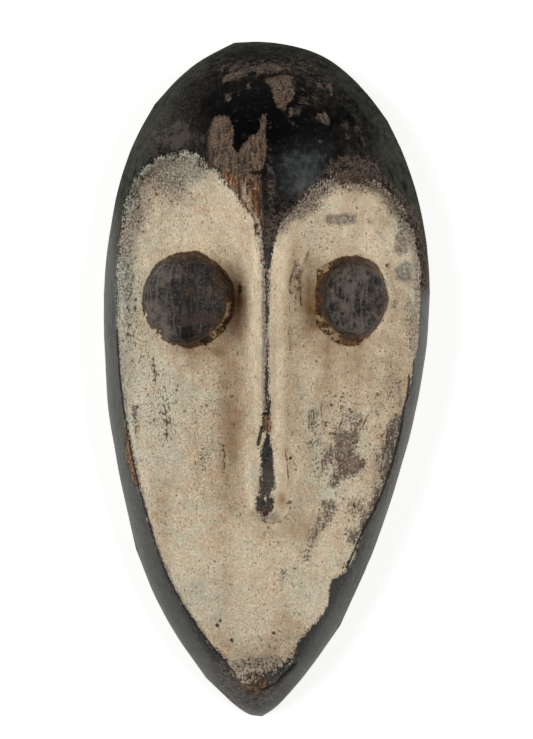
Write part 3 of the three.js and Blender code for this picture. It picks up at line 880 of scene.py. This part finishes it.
# Painted sheen: on the stub tops a lighter grey, partly rubbed wood and partly the lights' sheen;
# above the right lobe a bluish-grey painted reflection with a small painted highlight. Below 0 it
# marks the black patch on the left stub.
keep_map("sheen", spots(
    (1, -32, 20, 6, 11), (0.7, -29, 32, 6, 3.4), (0.7, 25, 24, 9, 11), (0.7, -30, 14, 5, 3),
    (0.6, 28, 31, 8, 3), (0.6, 28, 15, 8, 3), (0.75, 10, 62, 8, 9), (1, 10, 57.4, 1.5, 1.5),
    (-0.5, -23, 21, 5, 9), (-1.4, -23.6, 13.4, 2.2, 2.2),
), low=-1)
knot = 1 - spots((0.7, -9.5, 19.2, 1, 1))
from_resin = to_line(view, rounded(RESIN), signed=True) * knot
keep_map("resin", from_resin, -3, 3)
keep_map("near resin", ramp(np.abs(from_resin), 1.5, 0.7))

# %% [markdown]
# ## Stains, painted shade, smudges, pale chalk and pores
# Warm stains lie where hands and damp gather, beside the nose. The same map carries painted shade:
# brown beside the inner sides of the eye stubs, above the right one and under the left one, where
# the stubs shade the face. Grey smudges are worn so thin that the ground shows through: a bar over
# the right eye, the outer side of the right lobe, the tops of both lobes and the rim of the paint.
# Here and there the white is paler and greener. Pores make dark specks, thickest on the left cheek.

# %% Maps of stains, smudges, chalk and pores
SMUDGES = [
    [17.9, 48.8, 23.3, 48.9, 27, 48.4, 27, 45.9, 22, 45.6, 17.5, 46.2],
    [29.1, 47.3, 32, 46.9, 32, 45.3, 30, 45.7],
    [32.6, 44, 34.7, 43.8, 34.3, 42.4, 32.4, 42.8],
    [38.2, 42.6, 39.8, 45.2, 42.7, 42, 42.9, 37.5, 40.1, 36.4, 37.9, 37.5],
    [38.2, 33, 40.1, 35.5, 43.4, 34.9, 43.4, 29.1, 40.8, 27.8, 38.2, 29.8],
    [38.4, -1.6, 39.6, -1.8, 40.6, -9, 38.9, -8.6],
]
SMUDGE_STRENGTHS = [1.4, 1.1, 1.2, 1.1, 1.0, 1.0]

# Partly painted shade: the spots right of the left stub, under it, left of the right stub and above
# it are the brown shade the stubs cast; the rest are stains.
stain_and_shade = 0.06 + spots(
    (0.45, -10, -16, 4, 17), (0.8, -8.4, 23, 3, 12), (0.6, -20, 8.4, 6, 1.8),
    (0.9, 13.5, 22, 2.6, 10), (0.1, 19, 9, 9, 5), (0.2, -6, -10, 2.5, 12), (0.2, 6.2, -8, 2, 12),
    (0.12, 30, 26, 12, 22), (0.2, -17, 6, 9, 5), (0.15, 9.5, -12, 2.6, 10), (0.3, -30, -36, 5, 9),
    (0.2, 4, -44, 10, 4), (0.25, 24, 6, 12, 12), (0.35, 8, 33, 3, 12), (0.55, 4.3, -35.6, 1.4, 2.6),
    (0.3, 40, -2, 4, 12), (0.3, 33, -28, 5, 8), (0.35, 12, -46, 5, 5), (0.3, 8, -76, 5, 7),
    (0.2, -33, 58, 6, 5), (0.9, -2.9, -38.4, 1.2, 1), (0.4, 0, -82, 14, 5), (0.2, -7, -5, 3, 14),
    (0.12, 30, 2, 12, 16), (0.3, 15, 35, 3, 2.4),
)
stain_and_shade += 0.25 * lumps(points * GRAIN, 6.0, 51) + 0.14 * lumps(points, 2.5, 55)
keep_map("stain_and_shade", stain_and_shade)

left_side, right_top = ramp(-view[:, 0], 14, 22), ramp(view[:, 1] + view[:, 0], 44, 54)
smudge = 0.9 * left_side * ramp(inside, 1.6, 0.2) + 0.95 * right_top * ramp(inside, 4.5, 0.5)
smudge += spots(
    (1.2, -28, 63, 14, 5), (0.9, -40, 48, 4, 12), (0.7, -42, 34, 3, 16), (0.4, -28, 54, 12, 6),
    (0.4, 23, -20, 9, 12), (0.3, 14, -44, 6, 10), (0.5, 24, 59, 14, 3), (0.5, 39, 48, 5, 5),
    (0.6, -41, 8, 2.6, 20), (0.6, -3.6, -28, 1.2, 9), (0.5, -20, -62, 6, 5),
    (0.15, -31, -10, 6, 14), (0.8, -2, -85, 12, 4), (0.4, 7, 12, 2, 9), (0.4, 36, -28, 4, 16),
    (0.5, 3.6, 41, 1.2, 6), (0.5, 9, 49.5, 5, 2.4),
)
smudge = (smudge - 0.5 * lobe_rim) * ramp(inside, -1.6, -0.6)
for strength, outline in zip(SMUDGE_STRENGTHS, SMUDGES):
    smudge = np.maximum(smudge, strength * ramp(within(ragged_view, outline), -1.3, 1.5))
for outline in RESIDUE:
    smudge = np.maximum(smudge, ramp(within(ragged_view, outline), -0.4, 0.3))
keep_map("smudge", smudge)

chalk = 0.1 + spots(
    (0.8, -31, -12, 9, 22), (0.5, -28, 58, 14, 9), (0.4, -40, -8, 3, 14), (0.5, 14, -66, 9, 9),
    (0.4, -20, -62, 8, 9), (0.6, -3.9, -27, 1.6, 12), (0.7, 4, -20, 1.6, 15), (0.8, 41, 32, 3, 4),
    (0.6, 24, -31, 6, 4), (0.5, -10, -70, 12, 12), (0.7, -41, 22, 4, 20), (0.6, -34, 40, 5, 6),
    (0.8, 18, -34, 2.5, 1.5), (0.5, 12, 42, 5, 6), (0.5, 14, -12, 6, 6), (0.5, 34, 43, 2, 2),
)
keep_map("chalk", chalk + lobe_rim + 0.25 * lumps(points, 8.0, 52))

# Brighter cream: thick paint in places, and a painted highlight on both flanks of the nose and
# beside the upper left of the left stub.
thick_paint_and_highlight = spots(
    (0.8, 25, 40, 13, 9), (0.8, 26, 52, 5, 3.5), (0.4, 6, -27, 2, 12), (0.5, 14, 4, 9, 7),
    (0.5, -12, 2, 4, 8), (0.9, -3.2, 28, 1.6, 26), (0.8, 3.6, 28, 1.8, 24), (0.9, 8, 34, 4, 14),
    (0.6, 40, 18, 4, 9), (0.8, -34.5, 34, 3, 3), (0.3, 25, 2, 12, 10), (0.8, 9.5, -24, 2.2, 9),
    (0.5, 30, 12, 6, 4), (0.5, 4.5, -14, 1.6, 16), (0.4, 28, 10, 10, 9), (0.3, 0, -52, 22, 14),
    (0.5, -14, 43, 10, 8), (0.4, 25, -8, 12, 7),
)
# Painted highlight along the raised foot of the nose.
for line in NOSE_FOOT:
    thick_paint_and_highlight += 1.2 * beside(line, 0.7)
keep_map("thick_paint_and_highlight", thick_paint_and_highlight + 0.15 * lumps(points, 4.0, 57))

pores = 0.15 + spots(
    (0.65, -31, -10, 8, 14), (0.7, -40, 20, 4, 25), (0.7, -30, 56, 14, 8), (0.7, 20, -22, 12, 14),
    (0.5, -18, -22, 5, 14), (0.45, 0, -80, 16, 7), (0.4, 7, 12, 2.5, 12), (0.4, 30, -42, 8, 8),
    (0.4, 38, 18, 5, 14), (0.3, 8, -58, 8, 7), (0.3, -20, -64, 7, 8), (0.35, 38, -6, 7, 14),
    (0.4, 25, -5, 14, 9), (0.4, -13, -4, 8, 10), (0.3, 22, 40, 16, 8), (0.1, -16, 48, 10, 8),
)
for line in CHEEK_CRACKS:
    pores += 0.6 * beside(line, 1.4)
keep_map("pores", pores)

# %% [markdown]
# ## Thin dark lines
# Dirt fills the cracks, so the lines that were pressed into the wood are dark as well. Along the
# nose's crease and under its foot the dark line is painted shade. The skin's squares are wider than
# these lines, so the map holds how far each point is from the line, counted in half widths and
# below
# 0 on its right. Between two points that runs evenly through 0, and the shader finds a line there
# that is thinner than the squares.

# %% Maps of the thin lines
FAR_FROM_LINES = 9.0
HALO = 0.9

seam = np.full(len(points), FAR_FROM_LINES)
crack_and_shade = np.zeros(len(points))
# The nose's crease and the lines under its foot are painted shade; the rest are dirt in cracks,
# gouges and holes.
for darkness, half_width, lines in [
    (0.35, 0.3, CRACKS_BY_NOSE), (0.4, 0.2, CHEEK_CRACKS), (0.36, 0.22, SCUFF_CRACKS),
    (0.35, 0.2, [NOSE_CREASE]),
    (0.45, 0.25, FOOT_SHADE), (0.85, 0.3, [LEFT_CHEEK]),
    (1.4, 0.22, [CHIN_CRACK]), (1.4, 0.5, [NOSE_GOUGE]), (1.4, 0.5, [[-7.7, 27.3, -7.7, 25.9]]),
    (1.2, 0.5, DARK_SPOTS), (1.6, 0.6, BEETLE_HOLE), (0.9, 0.35, [RIGHT_ARRIS]),
]:
    for line in lines:
        away = to_line(view, rounded(line), signed=True)
        nearer = np.abs(away / half_width) < np.abs(seam)
        seam = np.where(nearer, away / half_width, seam)
        crack_and_shade = np.maximum(crack_and_shade, darkness * np.exp(-((away / (half_width + HALO)) ** 2)))
keep_map("seam", seam, -FAR_FROM_LINES, FAR_FROM_LINES)
keep_map("crack_and_shade", crack_and_shade * facing, 0, 2)

# %% [markdown]
# ## Shared shader inputs
# The shader works in object coordinates, turned to millimetres, so a noise with lumps of 2 mm has a
# scale of one half. Coordinates squeezed along Y draw a pattern out along the grain. All noises run
# from 0 to 1 and stay mostly within 0.2 of one half.

# %% Start the finish, and make its noises
finish, tree, surface = new_material("carved_hardwood_blackened_and_whitened")
METRES_TO_MM = 1000.0

objects = add(tree, "TexCoord", out="Object")
place = add(tree, "VectorMath", {0: objects, "Scale": METRES_TO_MM}, operation="SCALE")
grainwise = add(tree, "VectorMath", {0: place, 1: (1.0, 0.15, 1.0)}, operation="MULTIPLY")
dashwise = add(tree, "VectorMath", {0: place, 1: (1.0, 0.45, 1.0)}, operation="MULTIPLY")


def speckle(size, where=place, detail=3.0, roughness=0.6):
    """Noise with lumps of about size mm."""
    knobs = {"Vector": where, "Scale": 1 / size, "Detail": detail, "Roughness": roughness}
    return add(tree, "TexNoise", knobs)


def stored(name):
    """One of the maps stored on the mesh."""
    return add(tree, "Attribute", out="Fac", attribute_name=name)


def calc(operation, first, second, third=0.0):
    """One sum with numbers or with other nodes' outputs."""
    return add(tree, "Math", {0: first, 1: second, 2: third}, operation=operation)


def swing(value, noises):
    """Adds noises to a value, each swinging it up and down by its strength."""
    for noise, strength in noises:
        value = calc("MULTIPLY_ADD", calc("SUBTRACT", noise, 0.5), strength, value)
    return value


def between(value, low, high, start=0.0, end=1.0):
    """Turns the range from low to high into the range from start to end, and holds its ends."""
    knobs = {"Value": value, 1: low, 2: high, 3: start, 4: end}
    return add(tree, "MapRange", knobs, interpolation_type="SMOOTHSTEP")


def blend(share, first, second):
    """Mixes two colours, each a screen colour or another node's output."""
    pair = [linear(colour) if isinstance(colour, str) else colour for colour in (first, second)]
    return add(tree, "Mix", {0: share, 6: pair[0], 7: pair[1]}, out=2, data_type="RGBA")


def layered(colour, layers):
    """Lays colours over one, each coming in, up to its most, as a noise climbs from low to high."""
    for noise, low, high, most, over in layers:
        colour = blend(between(noise, low, high, 0.0, most), colour, over)
    return colour


def weigh(share, first, second):
    """Mixes two numbers."""
    return add(tree, "Mix", {0: share, 2: first, 3: second}, data_type="FLOAT")


fine = speckle(0.7, detail=4.0)
medium = speckle(1.5, detail=4.0, roughness=0.7)
grit = speckle(0.38, detail=2.0)
coarse = speckle(2.8)
patchy = speckle(5.0, detail=3.0)
broad = speckle(11.0, detail=2.0)
streaks = speckle(0.9, grainwise, detail=5.0, roughness=0.65)
dashes = speckle(0.5, dashwise, detail=2.0)
print("shader noises ready")

# %% [markdown]
# ## Bare hardwood
# Where a finish has gone the wood is dry and grey-brown, and only where a chip is recent is it
# still orange. It has fine dark streaks along the grain. Under the scuffs it is bruised: paler,
# with white rubbed in. Old dry wood is dull, so its roughness is about 0.8.

# %% Colour of the bare wood
old_wood = layered("332820", [
    (streaks, 0.4, 0.6, 1, "6b5847"), (fine, 0.52, 0.66, 1, "85715f"),
    (grit, 0.56, 0.68, 0.7, "2b211b"),
])
bruised = layered("6a5a50", [
    (medium, 0.42, 0.6, 1, "a08a70"), (streaks, 0.5, 0.66, 0.7, "57493f"),
])
old_wood = blend(calc("MULTIPLY", stored("scuffed"), 0.85), old_wood, bruised)
fresh_wood = layered("3f291c", [
    (streaks, 0.42, 0.66, 1, "a0744e"), (fine, 0.54, 0.7, 1, "c69868"),
])
fresh = swing(stored("fresh"), [(medium, 1.2), (streaks, 1.0)])
wood = blend(between(fresh, 0.1, 0.9), old_wood, fresh_wood)

# %% [markdown]
# ## Blackened and polished wood
# The black is a thin stain of soot and oil, rubbed until it shines: nearly black where it is thick,
# grey-brown where it has worn thin, and reddish where the wood under it crumbles. Its index of
# refraction is that of oil and wax, about 1.5. Its roughness is about 0.3 where it is deep and
# polished, 0.5 where it is thin, and 0.8 where it crumbles.

# %% Colour and shine of the black
soot = between(swing(stored("soot"), [(coarse, 1.6), (streaks, 0.9)]), 0.0, 1.0)
worn_black = blend(between(fine, 0.4, 0.62), "1b1917", "3c3833")
dust = swing(stored("dust"), [(coarse, 0.5), (medium, 0.4), (fine, 0.3)])
worn_black = blend(calc("MAXIMUM", dust, 0.0), worn_black, "575950")
black_colour = blend(soot, worn_black, "070707")
mottle = between(swing(stored("worn"), [(medium, 1.2), (coarse, 1.0), (patchy, 2.0)]), 0.3, 0.9)
black_colour = blend(calc("MULTIPLY", mottle, 0.7), black_colour, "57504a")
crumbled = layered("221b17", [
    (medium, 0.4, 0.6, 1, "514740"), (fine, 0.5, 0.68, 0.8, "776a5f"),
    (grit, 0.62, 0.7, 0.6, "a8978a"),
])
rust = swing(stored("rust"), [(medium, 1.6)])
black_colour = blend(between(rust, 0.25, 0.75), black_colour, crumbled)
shining = swing(stored("sheen"), [(medium, 1.5), (coarse, 1.2), (patchy, 0.8)])
# Painted reflection: a bluish-grey sheen of the lights laid into the black's colour above the right
# lobe.
painted_sheen = between(shining, 0.2, 1.1, 0.0, 0.7)
black_colour = blend(painted_sheen, black_colour, "4e5253")
black_shine = swing(weigh(soot, 0.50, 0.32), [(coarse, 0.3)])

# %% [markdown]
# ## White earth
# The face is whitened with kaolin, a chalky clay: completely matt, so its roughness is 0.95. It is
# cream where it is thick, brighter where a highlight is painted in along the nose's flanks and
# foot, paler and greener where it is chalky, and tan to brown where it is stained, and also where
# shade is painted in beside the eye stubs. Streaks along the grain, pinkish and greenish mottles
# and fine grit vary it.

# %% Colour of the white
cream = layered("d6c09e", [
    (broad, 0.38, 0.62, 1, "e3d1b1"), (streaks, 0.44, 0.64, 0.7, "bd9d79"),
    (coarse, 0.46, 0.66, 0.5, "c9cbb3"), (patchy, 0.5, 0.66, 0.7, "dab089"),
    (patchy, 0.48, 0.34, 0.6, "cdcfb4"), (medium, 0.48, 0.66, 0.5, "cfa887"),
])
cream = blend(calc("MULTIPLY", stored("chalk"), 0.8), cream, "d3cfba")
# Brighter cream where the paint is thick and where a highlight is painted in.
cream = blend(stored("thick_paint_and_highlight"), cream, "f8e2bf")
cream = blend(between(fine, 0.46, 0.64, 0.0, 0.7), cream, "f4ead2")
more_specks = calc("MULTIPLY_ADD", stored("pores"), 0.4, 0.3)
specks = calc("MULTIPLY", between(grit, 0.50, 0.68), more_specks)
cream = blend(specks, cream, "8f7757")
# The stain colour serves both warm stains and the painted shade beside the eye stubs.
stains_and_shade = swing(stored("stain_and_shade"), [(coarse, 0.5), (streaks, 0.4)])
white_colour = blend(calc("MAXIMUM", stains_and_shade, 0.0), cream, "8f683f")

lilac = blend(between(fine, 0.42, 0.60), "61564c", "ab9d8e")
green = blend(between(fine, 0.42, 0.60), "62635a", "b2b1a1")
grey = blend(between(stored("chalk"), 0.2, 0.8), lilac, green)
smudge = between(swing(stored("smudge"), [(fine, 1.6), (medium, 1.8)]), 0.25, 0.95, 0.0, 0.85)
white_colour = blend(smudge, white_colour, grey)

# %% [markdown]
# ## Lay the finishes over each other
# The layers follow the maker's order: wood, then black, then white. Each cover is its map plus
# noise, cut by a soft step, and just before the white breaks it is thin and lilac-grey. Pores are
# cut from a noise drawn out along the grain, lower where there are more of them.

# %% Covers and layers
black_depth = swing(stored("black"), [(fine, 3.0), (coarse, 2.6), (streaks, 1.8)])
black_cover = between(black_depth, -0.15, 0.15)
white_depth = swing(stored("white"), [(fine, 2.6), (dashes, 2.8), (streaks, 2.8), (medium, 1.8)])
white_cover = between(white_depth, -0.15, 0.15)
white_colour = blend(between(white_depth, 0.0, 1.1, 0.8, 0.0), white_colour, grey)

least = calc("MULTIPLY_ADD", stored("pores"), -0.17, 0.735)
pore = between(calc("SUBTRACT", dashes, least), -0.02, 0.05)
pore = calc("MAXIMUM", pore, between(calc("SUBTRACT", medium, least), -0.02, 0.03))
pore = calc("MULTIPLY", pore, white_cover)

colour = blend(black_cover, wood, black_colour)
colour = blend(white_cover, colour, white_colour)
colour = blend(calc("MULTIPLY", pore, 0.85), colour, "50443a")

# %% [markdown]
# ## The eye stubs, the lines and the resin
# A stub's side is reddish brown with pale crumbs, its top dull dark grey with a brown rim. The
# sheen map marks places that are rubbed smooth and greyer, and places where the lights' sheen is
# painted in as a lighter grey. A thin line is where its map is less than one half width from 0.
# Noise makes it wander and break.

# %% Layers of the stubs, the dirt and the resin
side = layered("2a180c", [
    (medium, 0.38, 0.62, 1, "784f31"), (fine, 0.5, 0.66, 1, "986e47"),
])
pale_crumbs = between(swing(stored("crumbs"), [(fine, 1.6), (medium, 0.8)]), 0.35, 0.75)
side = blend(pale_crumbs, side, "c2ab88")
side = blend(between(grit, 0.58, 0.70, 0.0, 0.7), side, "cdb48c")
top = layered("161413", [
    (coarse, 0.36, 0.62, 1, "322e2b"), (streaks, 0.46, 0.64, 0.5, "54493f"),
    (patchy, 0.5, 0.62, 0.7, "4d392c"),
])
# The lighter grey on the stub tops is rubbed wood and painted sheen together.
rubbed_grey_and_sheen = between(swing(shining, [(coarse, 1.2), (streaks, 1.0)]), 0.2, 1.3, 0.0, 0.6)
top = blend(rubbed_grey_and_sheen, top, "7b7268")
top = layered(top, [
    (streaks, 0.52, 0.68, 0.2, "857b70"), (fine, 0.54, 0.7, 0.5, "7f766a"),
    (grit, 0.58, 0.72, 0.4, "1a1613"),
])
rim = swing(stored("cap"), [(medium, 2.5)])
top = blend(between(rim, 0.2, 1.4, 0.6, 0.0), top, "5f4b3c")
ragged = swing(1.0, [(medium, 3.0), (fine, 2.0), (coarse, 1.5)])
dark_patch = calc("MULTIPLY", stored("sheen"), ragged)
top = blend(between(dark_patch, -0.2, -0.8), top, "100e0d")
stub_cover = between(swing(stored("stub"), [(fine, 0.5), (coarse, 0.5)]), -0.12, 0.12)
cap_cover = between(swing(stored("cap"), [(fine, 0.8), (coarse, 0.8)]), -0.15, 0.15)

# Dark lines: dirt in the cracks, and painted shade along the nose's crease and under its foot.
off_line = calc("ABSOLUTE", swing(stored("seam"), [(coarse, 2.0), (medium, 1.2)]), 0.0)
dirt_and_shade = between(swing(off_line, [(fine, 1.4)]), 1.3, 0.7)
patches = calc("MULTIPLY", stored("crack_and_shade"), swing(1.0, [(medium, 4.0), (coarse, 2.0)]))
dirt_and_shade = calc("MULTIPLY", dirt_and_shade, between(patches, 0.2, 0.5))
dirt_and_shade_colour = blend(between(stored("crack_and_shade"), 0.45, 0.9), "6d4c31", "15100d")
resin_cover = between(calc("ABSOLUTE", swing(stored("resin"), [(medium, 1.2)]), 0.0), 0.55, 0.4)
resin_cover = calc("MULTIPLY", resin_cover, stored("near resin"))

colour = blend(stub_cover, colour, side)
colour = blend(cap_cover, colour, top)
colour = blend(calc("MULTIPLY", dirt_and_shade, 0.9), colour, dirt_and_shade_colour)
colour = blend(resin_cover, colour, "3a1c0b")

shine = weigh(black_cover, 0.8, black_shine)
shine = weigh(stored("rust"), shine, 0.8)
gloss = weigh(black_cover, 0.25, calc("MULTIPLY", stored("polish"), 0.45))
shine = weigh(white_cover, shine, 0.95)
shine = weigh(cap_cover, shine, 0.6)
gloss = weigh(cap_cover, gloss, 0.2)
shine = weigh(dirt_and_shade, shine, 0.9)
shine = weigh(resin_cover, shine, 0.25)

# %% [markdown]
# ## Fine relief
# The bump node takes a height in millimetres: paint stands about a tenth of a millimetre above the
# wood, pores and dirt-filled cracks sink in, and grain and grit roughen the rest.

# %% Relief and the finished shader
height = calc("MULTIPLY", white_cover, 0.12)
crumbling = calc("MULTIPLY", fine, stored("rust"))
for layer, rise in [
    (black_cover, 0.08), (streaks, 0.18), (fine, 0.18), (grit, 0.07), (medium, 0.16),
    (coarse, 0.1), (pore, -0.15), (dirt_and_shade, -0.25), (resin_cover, 0.3), (crumbling, 0.4),
]:
    height = calc("MULTIPLY_ADD", layer, rise, height)
bump = add(tree, "Bump", {"Height": height, "Distance": MM, "Strength": 0.8})

skin_of_paint = {"Base Color": colour, "Roughness": shine, "Normal": bump, "IOR": 1.5,
                 "Specular IOR Level": gloss}
tree.links.new(add(tree, "BsdfPrincipled", skin_of_paint), surface)
final.materials.append(finish)
print("finish of", len(tree.nodes), "nodes")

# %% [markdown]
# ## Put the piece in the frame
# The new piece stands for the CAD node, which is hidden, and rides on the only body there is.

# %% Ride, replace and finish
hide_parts("mask")
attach(mask, "root")
